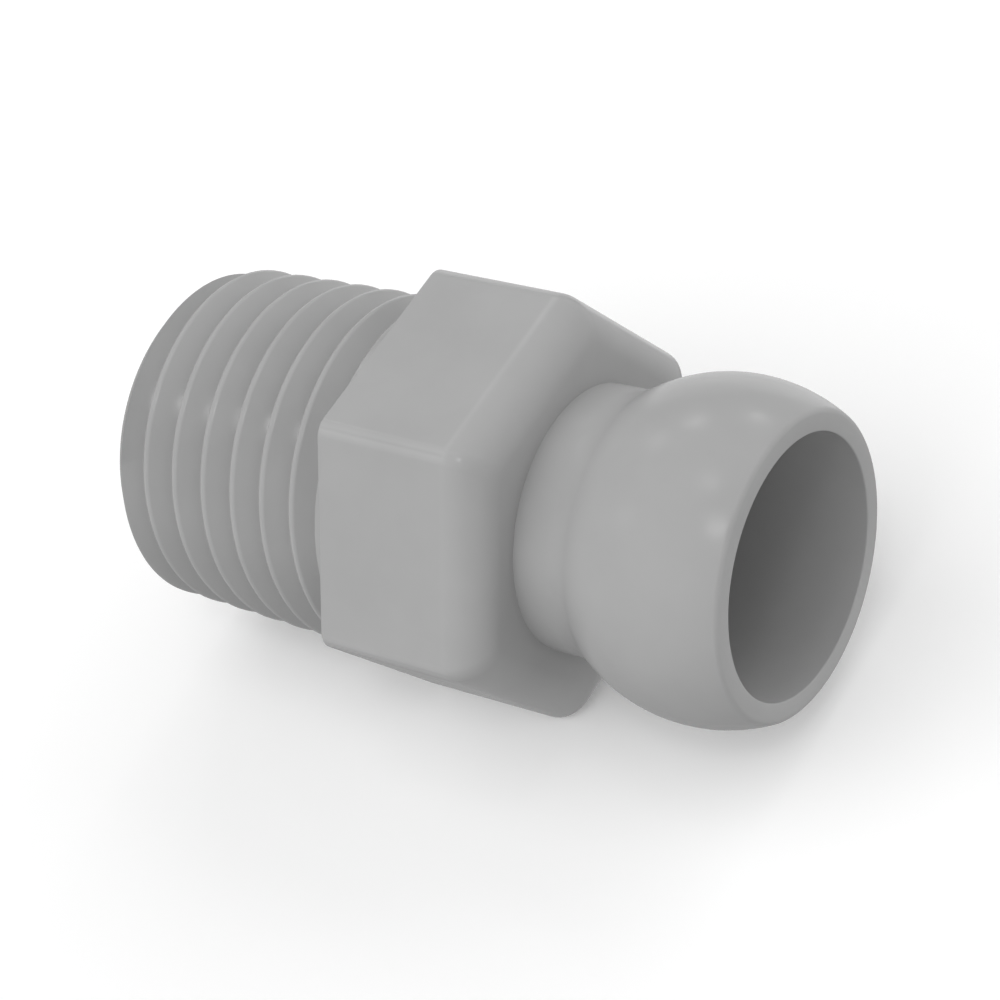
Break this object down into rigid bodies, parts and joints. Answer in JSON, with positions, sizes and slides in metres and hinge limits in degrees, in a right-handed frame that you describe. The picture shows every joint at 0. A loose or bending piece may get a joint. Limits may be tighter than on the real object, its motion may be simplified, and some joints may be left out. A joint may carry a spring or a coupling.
{
  "type": "hose coupling",
  "caption": "Male end connector of a ball-jointed coolant hose: tapered pipe thread, spanner hexagon and hollow ball on a short neck, moulded in one piece.",
  "frame": {"origin": "centre of the ball, on the connector's axis", "axes": "+X along the axis, out of the ball's mouth; +Z square to one flat of the hexagon, so the opposite flat faces down and carries the part; +Y through a corner of the hexagon"},
  "size_m": [0.0261, 0.0164, 0.0144],
  "materials": {
    "grey_plastic": "semi-matt moulded plastic, plain neutral grey"
  },
  "bodies": {
    "root": {"coupling": "grey_plastic"}
  },
  "joints": []
}
